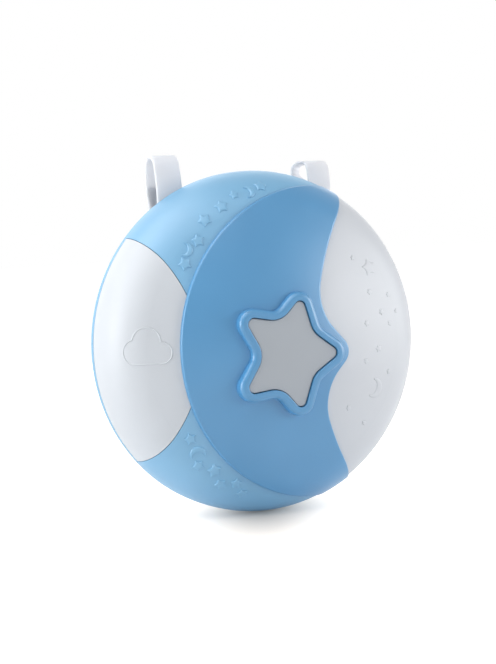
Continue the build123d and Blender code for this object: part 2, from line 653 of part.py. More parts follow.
with BuildPart() as rear_shell:
    add(REAR_OUTER)
    add(REAR_INNER, mode=Mode.SUBTRACT)
    add(rear_lip.part)
    add(strap_blocks.part)
    with BuildSketch(at_depth(WALL / 2)):
        with Locations(*SHELL_SCREWS):
            Circle(SHELL_BOSS_RADIUS)
    extrude(amount=REAR_DEPTH - WALL / 2)
    with BuildSketch(at_depth(WALL / 2)):
        with Locations(*BOARD_SCREWS):
            Circle(POST_RADIUS)
    extrude(amount=BOARD_BACK - WALL / 2)
    with BuildSketch(at_depth(WALL / 2)):
        Rectangle(BOX_X + 2 * BOX_WALL, BOX_Z + 2 * BOX_WALL)
        with Locations((0, DOOR_SCREW_Z)):
            Circle(DOOR_BOSS_RADIUS)
    extrude(amount=BOX_DEPTH + BOX_WALL - WALL / 2)
    with BuildSketch(at_depth(WALL / 2)):
        with Locations((0, DOOR_MID_Z)):
            RectangleRounded(DOOR_X + 2 * LEDGE_LAP, DOOR_Z + 2 * LEDGE_LAP, DOOR_CORNER + LEDGE_LAP)
    extrude(amount=DOOR_INNER + LEDGE_THICK - WALL / 2)
    # Door opening, battery box and the slots for the door's tabs
    with BuildSketch(at_depth(0)):
        with Locations((0, DOOR_MID_Z)):
            RectangleRounded(DOOR_X + 2 * DOOR_GAP, DOOR_Z + 2 * DOOR_GAP, DOOR_CORNER + DOOR_GAP)
    extrude(amount=DOOR_INNER, mode=Mode.SUBTRACT)
    with BuildSketch(at_depth(0)):
        Rectangle(BOX_X, BOX_Z)
    extrude(amount=BOX_DEPTH, mode=Mode.SUBTRACT)
    with BuildSketch(at_depth(DOOR_INNER)):
        with Locations((-TAB_X, TAB_SLOT_MID), (TAB_X, TAB_SLOT_MID)):
            Rectangle(TAB_WIDTH + 2 * TAB_SLOT_GAP, TAB_SLOT_TOP - TAB_SLOT_LOW)
    extrude(amount=LEDGE_THICK, mode=Mode.SUBTRACT)
    # Slits for the contact tabs, and the door screw's pilot hole
    with BuildSketch(at_depth(0)):
        with Locations(
            (-BOX_X / 2 + CONTACT_THICK / 2, CELL_ROWS[0]),
            (BOX_X / 2 - CONTACT_THICK / 2, CELL_ROWS[-1]),
        ):
            Rectangle(CONTACT_THICK + 2 * SLIT_GAP, CONTACT_TAB_WIDTH + 2 * SLIT_GAP)
    extrude(amount=BOX_DEPTH + BOX_WALL + PAST, mode=Mode.SUBTRACT)
    with BuildSketch(at_depth(0)):
        with Locations((0, DOOR_SCREW_Z)):
            Circle(SCREW_RADIUS + DOOR_SCREW_CLEAR)
    extrude(amount=DOOR_INNER + DOOR_SCREW_LENGTH + PILOT_EXTRA, mode=Mode.SUBTRACT)
    # Counterbored holes for the shell screws
    with BuildSketch(at_depth(0)):
        with Locations(*SHELL_SCREWS):
            Circle(SCREW_HEAD_RADIUS + HEAD_CLEAR)
    extrude(amount=REAR_DEPTH - SHELL_SEAT, mode=Mode.SUBTRACT)
    with BuildSketch(at_depth(0)):
        with Locations(*SHELL_SCREWS):
            Circle(CLEAR_RADIUS)
    extrude(amount=REAR_DEPTH, mode=Mode.SUBTRACT)
    # Pilot holes in the board posts
    with BuildSketch(at_depth(BOARD_BACK)):
        with Locations(*BOARD_SCREWS):
            Circle(PILOT_RADIUS)
    extrude(amount=-(BOARD_SCREW_LENGTH + PILOT_EXTRA), mode=Mode.SUBTRACT)
    # Slot for the switch knob
    with BuildSketch(at_depth(0)):
        with Locations((SWITCH_X, SWITCH_Z)):
            Rectangle(KNOB_WIDTH + 2 * KNOB_GAP, KNOB_LENGTH + KNOB_TRAVEL + 2 * KNOB_GAP)
    extrude(amount=WALL, mode=Mode.SUBTRACT)
    # Strap recesses, open at the top and the back, with holes for the pins
    with BuildSketch(at_depth(0)):
        with Locations((-STRAP_X, RIM_RADIUS), (STRAP_X, RIM_RADIUS)):
            Rectangle(POCKET_WIDTH, 2 * (RIM_RADIUS - POCKET_FLOOR))
    extrude(amount=REAR_DEPTH - POCKET_FRONT_WALL, mode=Mode.SUBTRACT)
    for side in (-1, 1):
        with BuildSketch(Plane.YZ.offset(side * STRAP_X - POCKET_WIDTH / 2 - POCKET_WALL)):
            with Locations((-BAR_DEPTH, BAR_Z)):
                Circle(BAR_RADIUS + BAR_FIT)
        extrude(amount=POCKET_WIDTH + 2 * POCKET_WALL, mode=Mode.SUBTRACT)
rear_shell.part.label = "rear_shell"
export_step(rear_shell.part, "parts/rear_shell.step")

with BuildPart() as shell_screws:
    add(screws(SHELL_SCREWS, REAR_DEPTH - SHELL_SEAT, -1, SHELL_SCREW_LENGTH))
shell_screws.part.label = "shell_screws"
export_step(shell_screws.part, "parts/shell_screws.step")


# Battery cells, alternating end for end
with BuildPart() as battery_cells:
    for row, cell_z in enumerate(CELL_ROWS):
        nub_side = 1 if row % 2 else -1
        body_start = -(CELL_LENGTH + CELL_NUB) / 2 + (CELL_NUB if nub_side < 0 else 0)
        with BuildSketch(Plane.YZ.offset(body_start)):
            with Locations((-CELL_DEPTH, cell_z)):
                Circle(CELL_RADIUS)
        extrude(amount=CELL_LENGTH)
        nub_start = body_start + (CELL_LENGTH if nub_side > 0 else 0)
        with BuildSketch(Plane.YZ.offset(nub_start)):
            with Locations((-CELL_DEPTH, cell_z)):
                Circle(CELL_NUB_RADIUS)
        extrude(amount=nub_side * CELL_NUB)
battery_cells.part.label = "battery_cells"
export_step(battery_cells.part, "parts/battery_cells.step")


# Contact plates at each end of the cells: one single with a solder tab, one joining two cells
def contact_plates(side, single_row, joined_rows):
    wall_x = side * BOX_X / 2
    reach = CONTACT_SPACE - CONTACT_THICK - CELL_GAP
    joined_z = sum(joined_rows) / len(joined_rows)
    joined_width = CONTACT_WIDTH + abs(joined_rows[0] - joined_rows[-1])
    with BuildPart() as plates:
        with BuildSketch(Plane.YZ.offset(wall_x)):
            with Locations((-CELL_DEPTH, single_row)):
                Rectangle(CONTACT_HEIGHT, CONTACT_WIDTH)
            with Locations((-CELL_DEPTH, joined_z)):
                Rectangle(CONTACT_HEIGHT, joined_width)
        extrude(amount=-side * CONTACT_THICK)
        with BuildSketch(Plane.YZ.offset(wall_x - side * CONTACT_THICK)):
            with Locations(*[(-CELL_DEPTH, row) for row in (single_row, *joined_rows)]):
                Circle(CONTACT_BUMP_RADIUS)
        extrude(amount=-side * reach)
        tab_end = BOX_DEPTH + BOX_WALL + CONTACT_TAB_REACH
        with BuildSketch(Plane.YZ.offset(wall_x)):
            with Locations((-(CELL_DEPTH + tab_end) / 2, single_row)):
                Rectangle(tab_end - CELL_DEPTH, CONTACT_TAB_WIDTH)
        extrude(amount=-side * CONTACT_THICK)
    return plates.part


with BuildPart() as battery_contacts_left:
    add(contact_plates(-1, CELL_ROWS[0], CELL_ROWS[1:]))
battery_contacts_left.part.label = "battery_contacts_left"
export_step(battery_contacts_left.part, "parts/battery_contacts_left.step")

with BuildPart() as battery_contacts_right:
    add(contact_plates(1, CELL_ROWS[-1], CELL_ROWS[:-1]))
battery_contacts_right.part.label = "battery_contacts_right"
export_step(battery_contacts_right.part, "parts/battery_contacts_right.step")


# Battery door with two tabs at its top edge, and its screw at the bottom
with BuildPart() as battery_door:
    with BuildSketch(at_depth(DOOR_SET)):
        with Locations((0, DOOR_MID_Z)):
            RectangleRounded(DOOR_X, DOOR_Z, DOOR_CORNER)
    extrude(amount=DOOR_THICK)
    tab_low = DOOR_INNER + TAB_GAP
    with BuildSketch(at_depth(DOOR_INNER)):
        with Locations((-TAB_X, DOOR_TOP - TAB_ROOT / 2), (TAB_X, DOOR_TOP - TAB_ROOT / 2)):
            Rectangle(TAB_WIDTH, TAB_ROOT)
    extrude(amount=TAB_GAP + TAB_THICK)
    with BuildSketch(at_depth(tab_low)):
        with Locations(
            (-TAB_X, DOOR_TOP + (TAB_REACH - TAB_ROOT) / 2),
            (TAB_X, DOOR_TOP + (TAB_REACH - TAB_ROOT) / 2),
        ):
            Rectangle(TAB_WIDTH, TAB_REACH + TAB_ROOT)
    extrude(amount=TAB_THICK)
    with BuildSketch(at_depth(DOOR_SET)):
        with Locations((0, DOOR_SCREW_Z)):
            Circle(SCREW_HEAD_RADIUS + HEAD_CLEAR)
    extrude(amount=DOOR_HEAD_SINK, mode=Mode.SUBTRACT)
    with BuildSketch(at_depth(DOOR_SET)):
        with Locations((0, DOOR_SCREW_Z)):
            Circle(PILOT_RADIUS)
    extrude(amount=DOOR_THICK, mode=Mode.SUBTRACT)
battery_door.part.label = "battery_door"
export_step(battery_door.part, "parts/battery_door.step")

with BuildPart() as battery_door_screw:
    head_seat = DOOR_SET + DOOR_HEAD_SINK
    add(screws([(0, DOOR_SCREW_Z)], head_seat, -1, DOOR_SCREW_LENGTH, head_thick=DOOR_HEAD_SINK))
battery_door_screw.part.label = "battery_door_screw"
export_step(battery_door_screw.part, "parts/battery_door_screw.step")


# Slide switch: a body behind the wall and a ribbed knob in the slot
with BuildPart() as switch_body:
    with BuildSketch(at_depth(WALL)):
        with Locations((SWITCH_X, SWITCH_Z)):
            Rectangle(SWITCH_WIDTH, SWITCH_LENGTH)
    extrude(amount=SWITCH_HEIGHT)
    with BuildSketch(at_depth(WALL)):
        with Locations((SWITCH_X, SWITCH_Z)):
            Rectangle(KNOB_STEM + 2 * KNOB_GAP, KNOB_STEM + KNOB_TRAVEL + 2 * KNOB_GAP)
    extrude(amount=KNOB_STEM_REACH + KNOB_GAP, mode=Mode.SUBTRACT)
switch_body.part.label = "switch_body"
export_step(switch_body.part, "parts/switch_body.step")

KNOB_Z = SWITCH_Z - KNOB_TRAVEL / 2
KNOB_RIB_COUNT = int((KNOB_LENGTH - KNOB_RIB) / KNOB_RIB_PITCH) + 1

with BuildPart() as switch_knob:
    with BuildSketch(at_depth(KNOB_SET + KNOB_RIB)):
        with Locations((SWITCH_X, KNOB_Z)):
            Rectangle(KNOB_WIDTH, KNOB_LENGTH)
    extrude(amount=WALL - KNOB_SET - KNOB_RIB - KNOB_SEAT_GAP)
    with BuildSketch(at_depth(KNOB_SET + KNOB_RIB)):
        with Locations((SWITCH_X, KNOB_Z)):
            with GridLocations(0, KNOB_RIB_PITCH, 1, KNOB_RIB_COUNT):
                Rectangle(KNOB_WIDTH, KNOB_RIB)
    extrude(amount=-KNOB_RIB)
    with BuildSketch(at_depth(WALL - KNOB_SEAT_GAP)):
        with Locations((SWITCH_X, KNOB_Z)):
            Rectangle(KNOB_STEM, KNOB_STEM)
    extrude(amount=KNOB_SEAT_GAP + KNOB_STEM_REACH)
switch_knob.part.label = "switch_knob"
export_step(switch_knob.part, "parts/switch_knob.step")


# Wires: from the contact tabs and from the switch to the back of the board
def lead(start_x, start_z, start_depth, shift_x, shift_z):
    """Wire that leaves forward, steps sideways and meets the board square."""
    first = start_depth + LEAD_GAP
    last = BOARD_BACK - LEAD_GAP
    step = (last - first) / 3
    route = (
        (start_x, -first, start_z),
        (start_x, -first - step, start_z),
        (start_x + shift_x, -last + step, start_z + shift_z),
        (start_x + shift_x, -last, start_z + shift_z),
    )
    with BuildPart() as wire:
        with BuildLine():
            FilletPolyline(*route, radius=LEAD_BEND)
        with BuildSketch(Plane(route[0], z_dir=(0, -1, 0))):
            Circle(LEAD_RADIUS)
        sweep()
    return wire.part


CONTACT_X = (BOX_X - CONTACT_THICK) / 2
TAB_END = BOX_DEPTH + BOX_WALL + CONTACT_TAB_REACH

with BuildPart() as battery_leads:
    add(lead(-CONTACT_X, CELL_ROWS[0], TAB_END, LEAD_SHIFT, 0))
    add(lead(CONTACT_X, CELL_ROWS[-1], TAB_END, -LEAD_SHIFT, 0))
battery_leads.part.label = "battery_leads"
export_step(battery_leads.part, "parts/battery_leads.step")

with BuildPart() as switch_leads:
    for side in (-1, 1):
        add(lead(SWITCH_X, SWITCH_Z + side * SWITCH_LENGTH / 3, WALL + SWITCH_HEIGHT, -LEAD_SHIFT, 0))
switch_leads.part.label = "switch_leads"
export_step(switch_leads.part, "parts/switch_leads.step")


# Straps: a closed webbing loop round each pin, flat in front and bellied behind
def unit(vector):
    return vector * (1 / vector.length)


def belly_centre(foot, top, foot_radius, top_radius, belly_radius, side):
    """Centre of the arc that runs tangent round both ends of the loop, on one side."""
    to_foot = belly_radius - foot_radius
    to_top = belly_radius - top_radius
    span = (top - foot).length
    along = (to_foot**2 - to_top**2 + span**2) / (2 * span)
    across = sqrt(to_foot**2 - along**2)
    direction = unit(top - foot)
    normal = Vector(-direction.Y, direction.X)
    return foot + direction * along + normal * (side * across)


def loop_shape(top_z, top_round):
    """Ends, belly centres and mid-line radii of a strap loop, in Y and Z."""
    foot = Vector(-BAR_DEPTH, BAR_Z)
    top = Vector(-BAR_DEPTH + LOOP_LEAN, top_z - top_round - STRAP_THICK / 2)
    front = belly_centre(foot, top, LOOP_FOOT, top_round, LOOP_FRONT_RADIUS, -1)
    rear = belly_centre(foot, top, LOOP_FOOT, top_round, LOOP_REAR_RADIUS, 1)
    return foot, top, front, rear


def loop_face(centre_x, shape, top_round, grow):
    """Face inside the loop's closed outline, grown outward from its mid-line."""
    foot, top, front, rear = shape
    foot_radius = LOOP_FOOT + grow
    top_radius = top_round + grow
    foot_front = foot + unit(foot - front) * foot_radius
    foot_rear = foot + unit(foot - rear) * foot_radius
    foot_middle = foot + unit(unit(foot - front) + unit(foot - rear)) * foot_radius
    top_front = top + unit(top - front) * top_radius
    top_rear = top + unit(top - rear) * top_radius
    top_middle = top + unit(unit(top - front) + unit(top - rear)) * top_radius
    front_middle = front + unit(foot_front + top_front - front * 2) * (LOOP_FRONT_RADIUS + grow)
    rear_middle = rear + unit(foot_rear + top_rear - rear * 2) * (LOOP_REAR_RADIUS + grow)
    with BuildSketch(Plane.YZ.offset(centre_x - STRAP_WIDTH / 2)) as outline:
        with BuildLine():
            ThreePointArc(foot_front, foot_middle, foot_rear)
            ThreePointArc(foot_rear, rear_middle, top_rear)
            ThreePointArc(top_rear, top_middle, top_front)
            ThreePointArc(top_front, front_middle, foot_front)
        make_face()
    return outline.sketch


def strap_loop(centre_x, top_z, top_round):
    shape = loop_shape(top_z, top_round)
    outer = loop_face(centre_x, shape, top_round, STRAP_THICK / 2)
    inner = loop_face(centre_x, shape, top_round, -STRAP_THICK / 2)
    with BuildPart() as loop:
        extrude(outer, amount=STRAP_WIDTH)
        extrude(inner, amount=STRAP_WIDTH, mode=Mode.SUBTRACT)
    return loop.part


def strap_closure(centre_x, top_z, top_round):
    """Hook-and-loop patch that follows the outside of the loop's rear belly."""
    foot, top, front, rear = loop_shape(top_z, top_round)
    inner = LOOP_REAR_RADIUS + STRAP_THICK / 2 + CLOSURE_GAP
    outer = inner + CLOSURE_THICK
    middle = unit(unit(foot - rear) + unit(top - rear))
    start = degrees(atan2(middle.Y, middle.X)) - CLOSURE_ANGLE / 2
    width = STRAP_WIDTH - 2 * CLOSURE_INSET
    with BuildPart() as patch:
        with BuildSketch(Plane.YZ.offset(centre_x - width / 2)):
            with BuildLine():
                near = CenterArc(rear, inner, start, CLOSURE_ANGLE)
                far = CenterArc(rear, outer, start, CLOSURE_ANGLE)
                Line(near @ 0, far @ 0)
                Line(near @ 1, far @ 1)
            make_face()
        extrude(amount=width)
    return patch.part


def strap_bar(centre_x):
    length = POCKET_WIDTH + 2 * POCKET_WALL
    with BuildPart() as bar:
        with BuildSketch(Plane.YZ.offset(centre_x - length / 2)):
            with Locations((-BAR_DEPTH, BAR_Z)):
                Circle(BAR_RADIUS)
        extrude(amount=length)
    return bar.part


STRAPS = (
    ("left", -STRAP_X, LEFT_LOOP_TOP, LEFT_LOOP_ROUND),
    ("right", STRAP_X, RIGHT_LOOP_TOP, RIGHT_LOOP_ROUND),
)
for side_name, centre_x, top_z, top_round in STRAPS:
    with BuildPart() as strap:
        add(strap_loop(centre_x, top_z, top_round))
    strap.part.label = "strap_" + side_name
    export_step(strap.part, "parts/strap_" + side_name + ".step")
    with BuildPart() as closure:
        add(strap_closure(centre_x, top_z, top_round))
    closure.part.label = "strap_closure_" + side_name
    export_step(closure.part, "parts/strap_closure_" + side_name + ".step")
    with BuildPart() as pin:
        add(strap_bar(centre_x))
    pin.part.label = "strap_bar_" + side_name
    export_step(pin.part, "parts/strap_bar_" + side_name + ".step")
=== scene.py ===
import json
import math

import bpy
from mathutils import Matrix, Vector


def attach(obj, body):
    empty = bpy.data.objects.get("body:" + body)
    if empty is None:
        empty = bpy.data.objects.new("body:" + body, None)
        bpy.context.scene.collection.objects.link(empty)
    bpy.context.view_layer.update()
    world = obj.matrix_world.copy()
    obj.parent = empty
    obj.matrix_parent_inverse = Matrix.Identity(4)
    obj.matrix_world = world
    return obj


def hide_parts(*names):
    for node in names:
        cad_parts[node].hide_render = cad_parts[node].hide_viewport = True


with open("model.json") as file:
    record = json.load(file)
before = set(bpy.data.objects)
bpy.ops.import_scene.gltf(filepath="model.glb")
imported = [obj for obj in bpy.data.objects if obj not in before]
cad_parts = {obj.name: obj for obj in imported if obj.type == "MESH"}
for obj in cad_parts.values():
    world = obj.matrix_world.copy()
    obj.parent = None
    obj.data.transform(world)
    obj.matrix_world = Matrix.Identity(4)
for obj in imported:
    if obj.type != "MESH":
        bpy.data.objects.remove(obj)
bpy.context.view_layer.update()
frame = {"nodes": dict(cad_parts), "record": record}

NODES = frame["nodes"]
MM = 0.001

# Sizes repeated from the part's source, in millimetres
RIM_RADIUS = 100.0
REAR_DEPTH = 22.0
RIM_BAND = 5.0
DOME_HEIGHT = 46.6
KNUCKLE_RADIUS = 30.0
STRAP_X = 48.1
STRAP_WIDTH = 16.0
STRAP_THICK = 1.6
BAR_DEPTH = 15.0
BAR_Z = 71.0
LOOP_FOOT = 3.1
LOOP_FRONT_RADIUS = 63.0
LOOP_REAR_RADIUS = 45.0
LOOP_LEAN = 5.0
LEFT_LOOP_TOP = 111.0
LEFT_LOOP_ROUND = 6.9
RIGHT_LOOP_TOP = 105.0
RIGHT_LOOP_ROUND = 6.0
CLOSURE_THICK = 1.2
CLOSURE_GAP = 0.05
CLOSURE_ANGLE = 18.0
CLOSURE_INSET = 0.5

KNUCKLE_X = RIM_RADIUS - KNUCKLE_RADIUS
KNUCKLE_RISE = DOME_HEIGHT - RIM_BAND
CROWN_SPREAD = KNUCKLE_X**2 + KNUCKLE_RISE**2 - KNUCKLE_RADIUS**2
CROWN_RADIUS = CROWN_SPREAD / (2 * (KNUCKLE_RISE - KNUCKLE_RADIUS))
CROWN_BASE = DOME_HEIGHT - CROWN_RADIUS
TANGENT_SLOPE = KNUCKLE_X / (RIM_BAND - CROWN_BASE)


# Materials

# Cells of a noise in one metre, depths in metres, and darkening in display levels
MOTTLE_CELLS = 18.0
MOTTLE_STOPS = (0.3, 0.7)
GLOSS_CELLS = 60.0
GLOSS_DRIFT = 0.04
METAL_MOTTLE_CELLS = 120.0
METAL_DARKENING = 16
METAL_GRAIN_CELLS = 900.0
METAL_GRAIN_DEPTH = 0.00003
WEAVE_ROUGHNESS = 0.75
WEAVE_SCATTER = 0.01
# Painted shade in the weave's hollows, in display levels
WEAVE_HOLLOW_SHADE = 14
WEAVE_STOPS = (0.1, 0.6)
BAND_REACH = 0.1
BAND_GRAIN_CELLS = 1800.0
BAND_GRAIN_DEPTH = 0.00001
TRACK_CELLS = 90.0
TRACK_WIDTH = 0.06
TRACK_DEPTH = 0.00004


def linear(red, green, blue):
    """Scene-linear colour of a display colour given from 0 to 255, by the sRGB curve."""
    channels = []
    for value in (red, green, blue):
        part = value / 255
        channels.append(part / 12.92 if part <= 0.04045 else ((part + 0.055) / 1.055) ** 2.4)
    return (*channels, 1.0)


def shader_of(material):
    return material.node_tree.nodes["Principled BSDF"]


def new_material(name, colour, roughness, **sockets):
    """Material with one Principled shader, its constant values set on the shader's own sockets."""
    material = bpy.data.materials.new(name)
    material.use_nodes = True
    shader = shader_of(material)
    shader.inputs["Base Color"].default_value = colour
    shader.inputs["Roughness"].default_value = roughness
    for socket, value in sockets.items():
        shader.inputs[socket.replace("_", " ")].default_value = value
    return material


def add_node(material, kind, **settings):
    """New node of a kind in the material, with its own properties set."""
    node = material.node_tree.nodes.new(kind)
    for key, value in settings.items():
        setattr(node, key, value)
    return node


def link(material, source, target):
    material.node_tree.links.new(source, target)


def object_place(material):
    """Point of the surface in the object's own frame, in metres."""
    return add_node(material, "ShaderNodeTexCoord").outputs["Object"]


def noise(material, scale, detail=2.0, stretch=None):
    """Noise over the object; scale is in cells per metre, stretch squeezes it along the axes."""
    texture = add_node(material, "ShaderNodeTexNoise")
    texture.inputs["Scale"].default_value = scale
    texture.inputs["Detail"].default_value = detail
    place = object_place(material)
    if stretch:
        mapping = add_node(material, "ShaderNodeMapping")
        mapping.inputs["Scale"].default_value = stretch
        link(material, place, mapping.inputs["Vector"])
        place = mapping.outputs["Vector"]
    link(material, place, texture.inputs["Vector"])
    return texture.outputs["Fac"]


def ramp(material, factor, stops):
    """Colour ramp over a factor; stops are (place, colour)."""
    node = add_node(material, "ShaderNodeValToRGB")
    elements = node.color_ramp.elements
    while len(elements) < len(stops):
        elements.new(0.5)
    for element, (place, colour) in zip(elements, stops):
        element.position = place
        element.color = colour
    link(material, factor, node.inputs["Fac"])
    return node.outputs["Color"]


def mottle(material, scale, dark, light):
    """Slow drift of the base colour between two near shades."""
    colour = ramp(material, noise(material, scale), list(zip(MOTTLE_STOPS, (dark, light))))
    link(material, colour, shader_of(material).inputs["Base Color"])


def uneven_gloss(material, scale, low, high):
    """Roughness that drifts over the surface."""
    spread = add_node(material, "ShaderNodeMapRange")
    spread.inputs["To Min"].default_value = low
    spread.inputs["To Max"].default_value = high
    link(material, noise(material, scale, 3.0), spread.inputs["Value"])
    link(material, spread.outputs["Result"], shader_of(material).inputs["Roughness"])


def bump_from(material, height, depth):
    """Bump from a height between 0 and 1; depth is in metres."""
    bump = add_node(material, "ShaderNodeBump")
    bump.inputs["Strength"].default_value = 1.0
    bump.inputs["Distance"].default_value = depth
    link(material, height, bump.inputs["Height"])
    link(material, bump.outputs["Normal"], shader_of(material).inputs["Normal"])


def moulded(name, shade, roughness, drift=4, grain=2600.0, grain_depth=0.00002, **sockets):
    """Moulded plastic: slow colour drift, uneven gloss and the fine spark grain of the tool."""
    material = new_material(name, linear(*shade), roughness, **sockets)
    dark = linear(*[channel - drift for channel in shade])
    light = linear(*[min(channel + drift, 255) for channel in shade])
    mottle(material, MOTTLE_CELLS, dark, light)
    uneven_gloss(material, GLOSS_CELLS, roughness - GLOSS_DRIFT, roughness + GLOSS_DRIFT)
    bump_from(material, noise(material, grain, 1.0), grain_depth)
    return material


def metal(name, shade, roughness, stretch):
    """Plated or drawn metal; stretch draws its grain out to fine lines along an axis."""
    material = new_material(name, linear(*shade), roughness, Metallic=1.0)
    dark = linear(*[channel - METAL_DARKENING for channel in shade])
    mottle(material, METAL_MOTTLE_CELLS, dark, linear(*shade))
    bump_from(material, noise(material, METAL_GRAIN_CELLS, 2.0, stretch), METAL_GRAIN_DEPTH)
    return material


def woven(name, shade, warp, weft, depth):
    """Webbing that light soaks into, in a plain weave, with painted shade in the hollows of the weave.

    The weave follows the mesh's own width and length, which its UV map holds in millimetres. Warp and weft
    are the lengths of its waves.
    """
    material = new_material(
        name,
        linear(*shade),
        WEAVE_ROUGHNESS,
        Subsurface_Weight=1.0,
        Subsurface_Scale=WEAVE_SCATTER,
        Subsurface_Radius=(1, 1, 1),
    )
    place = add_node(material, "ShaderNodeUVMap", uv_map="weave")
    split = add_node(material, "ShaderNodeSeparateXYZ")
    link(material, place.outputs["UV"], split.inputs["Vector"])
    waves = []
    for axis, pitch in (("X", warp), ("Y", weft)):
        turn = add_node(material, "ShaderNodeMath", operation="MULTIPLY")
        turn.inputs[1].default_value = 2 * math.pi / pitch
        link(material, split.outputs[axis], turn.inputs[0])
        wave = add_node(material, "ShaderNodeMath", operation="SINE")
        link(material, turn.outputs["Value"], wave.inputs[0])
        waves.append(wave.outputs["Value"])
    crossing = add_node(material, "ShaderNodeMath", operation="MULTIPLY")
    link(material, waves[0], crossing.inputs[0])
    link(material, waves[1], crossing.inputs[1])
    height = add_node(material, "ShaderNodeMapRange")
    height.inputs["From Min"].default_value = -1.0
    link(material, crossing.outputs["Value"], height.inputs["Value"])
    # Painted shade: the low places of the weave are drawn darker than the white yarn
    painted_hollow_shade = linear(*[channel - WEAVE_HOLLOW_SHADE for channel in shade])
    colour = ramp(material, height.outputs["Result"], list(zip(WEAVE_STOPS, (painted_hollow_shade, linear(*shade)))))
    link(material, colour, shader_of(material).inputs["Base Color"])
    bump_from(material, height.outputs["Result"], depth)
    return material


def banded(name, axis, stops, roughness):
    """Colour bands along one axis of the object; stops are (place in metres, shade)."""
    material = new_material(name, linear(*stops[0][1]), roughness)
    split = add_node(material, "ShaderNodeSeparateXYZ")
    link(material, object_place(material), split.inputs["Vector"])
    spread = add_node(material, "ShaderNodeMapRange")
    spread.inputs["From Min"].default_value = -BAND_REACH
    spread.inputs["From Max"].default_value = BAND_REACH
    link(material, split.outputs[axis], spread.inputs["Value"])
    steps = [((place + BAND_REACH) / (2 * BAND_REACH), linear(*shade)) for place, shade in stops]
    colour = ramp(material, spread.outputs["Result"], steps)
    colour.node.color_ramp.interpolation = "CONSTANT"
    link(material, colour, shader_of(material).inputs["Base Color"])
    bump_from(material, noise(material, BAND_GRAIN_CELLS, 1.0), BAND_GRAIN_DEPTH)
    return material


def circuit_board(name):
    """Solder mask with lighter tracks under it."""
    material = new_material(name, linear(28, 96, 58), 0.4)
    cells = add_node(material, "ShaderNodeTexBrick")
    cells.inputs["Scale"].default_value = TRACK_CELLS
    cells.inputs["Mortar Size"].default_value = TRACK_WIDTH
    cells.inputs["Color1"].default_value = linear(26, 92, 56)
    cells.inputs["Color2"].default_value = linear(32, 104, 62)
    cells.inputs["Mortar"].default_value = linear(74, 136, 84)
    turn = add_node(material, "ShaderNodeMapping")
    turn.inputs["Rotation"].default_value = (math.pi / 2, 0, 0)
    link(material, object_place(material), turn.inputs["Vector"])
    link(material, turn.outputs["Vector"], cells.inputs["Vector"])
    link(material, cells.outputs["Color"], shader_of(material).inputs["Base Color"])
    bump_from(material, cells.outputs["Fac"], TRACK_DEPTH)
    return material


SHELL_BLUE = (109, 166, 203)
# The cover is the same blue plastic as the shell, drawn darker: painted shade on its front-facing surface
COVER_SHADED_BLUE = (76, 142, 189)
PLASTIC_IOR = 1.5
SHELL_IOR = 1.9
COVER_IOR = 1.7
CELL_END = (196, 196, 192)
CELL_BODY = (52, 56, 64)
CELL_STRIPE = (150, 156, 160)
CELL_BANDS = (
    (-0.1, CELL_END), (-0.0242, CELL_BODY), (-0.016, CELL_STRIPE), (-0.013, CELL_BODY), (0.0242, CELL_END),
)
WIRE_BANDS = ((-0.1, (24, 24, 26)), (0.0, (150, 28, 26)))
EVEN_GRAIN = (1.0, 1.0, 1.0)
GRAIN_ALONG_X = (0.05, 1.0, 1.0)
GRAIN_ACROSS_Z = (1.0, 1.0, 12.0)
LOOKS = {
    "blue_shell": moulded("blue_shell", SHELL_BLUE, 0.46, IOR=SHELL_IOR),
    "blue_cover": moulded("blue_cover", COVER_SHADED_BLUE, 0.33, IOR=COVER_IOR),
    "white_panel": moulded("white_panel", (199, 204, 210), 0.46, drift=2, IOR=PLASTIC_IOR),
    "white_lens": moulded("white_lens", (202, 206, 212), 0.44, drift=2, IOR=PLASTIC_IOR),
    "grey_star": moulded("grey_star", (167, 173, 180), 0.5, drift=2, grain=3200.0),
    "silicone": moulded("silicone", (205, 205, 200), 0.6),
    "circuit_board": circuit_board("circuit_board"),
    "led_package": moulded("led_package", (240, 234, 200), 0.3, drift=5),
    "chip": moulded("chip", (28, 28, 30), 0.55),
    "screw_steel": metal("screw_steel", (176, 178, 182), 0.34, EVEN_GRAIN),
    "blue_rear": moulded("blue_rear", SHELL_BLUE, 0.46, grain=1500.0, grain_depth=0.00005, IOR=SHELL_IOR),
    "cell_jacket": banded("cell_jacket", "X", CELL_BANDS, 0.32),
    "contact_metal": metal("contact_metal", (196, 194, 184), 0.3, GRAIN_ACROSS_Z),
    "wire_jacket": banded("wire_jacket", "X", WIRE_BANDS, 0.42),
    "switch_black": moulded("switch_black", (34, 35, 38), 0.5),
    "pin_steel": metal("pin_steel", (180, 182, 186), 0.28, GRAIN_ALONG_X),
    "webbing": woven("webbing", (227, 229, 238), warp=1.1, weft=0.8, depth=0.00006),
    "closure_fabric": moulded(
        "closure_fabric", (222, 223, 226), 0.85, drift=6, grain=1100.0, grain_depth=0.0005, Sheen_Weight=0.3
    ),
}

for row in frame["record"]["subparts"]:
    for slot in NODES[row["node"]].material_slots:
        slot.material = LOOKS[row["material_slot"]]


# Meshes

def mesh_object(name, points, faces, look, body):
    """Piece from points in millimetres, smooth, riding on a body."""
    mesh = bpy.data.meshes.new(name)
    mesh.from_pydata([Vector(point) * MM for point in points], [], faces)
    mesh.validate()
    mesh.polygons.foreach_set("use_smooth", [True] * len(mesh.polygons))
    mesh.materials.append(LOOKS[look])
    piece = bpy.data.objects.new(name, mesh)
    bpy.context.scene.collection.objects.link(piece)
    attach(piece, body)
    return piece


def tube_faces(rings, size, closed):
    """Faces between rings of equal size, closed from the last ring to the first or else with capped ends."""
    faces = []
    last = rings if closed else rings - 1
    for ring in range(last):
        start, after = ring * size, (ring + 1) % rings * size
        for step in range(size):
            following = (step + 1) % size
            faces.append((start + step, start + following, after + following, after + step))
    if not closed:
        faces.append(tuple(reversed(range(size))))
        faces.append(tuple(range((rings - 1) * size, rings * size)))
    return faces


# Raised motifs on the dome

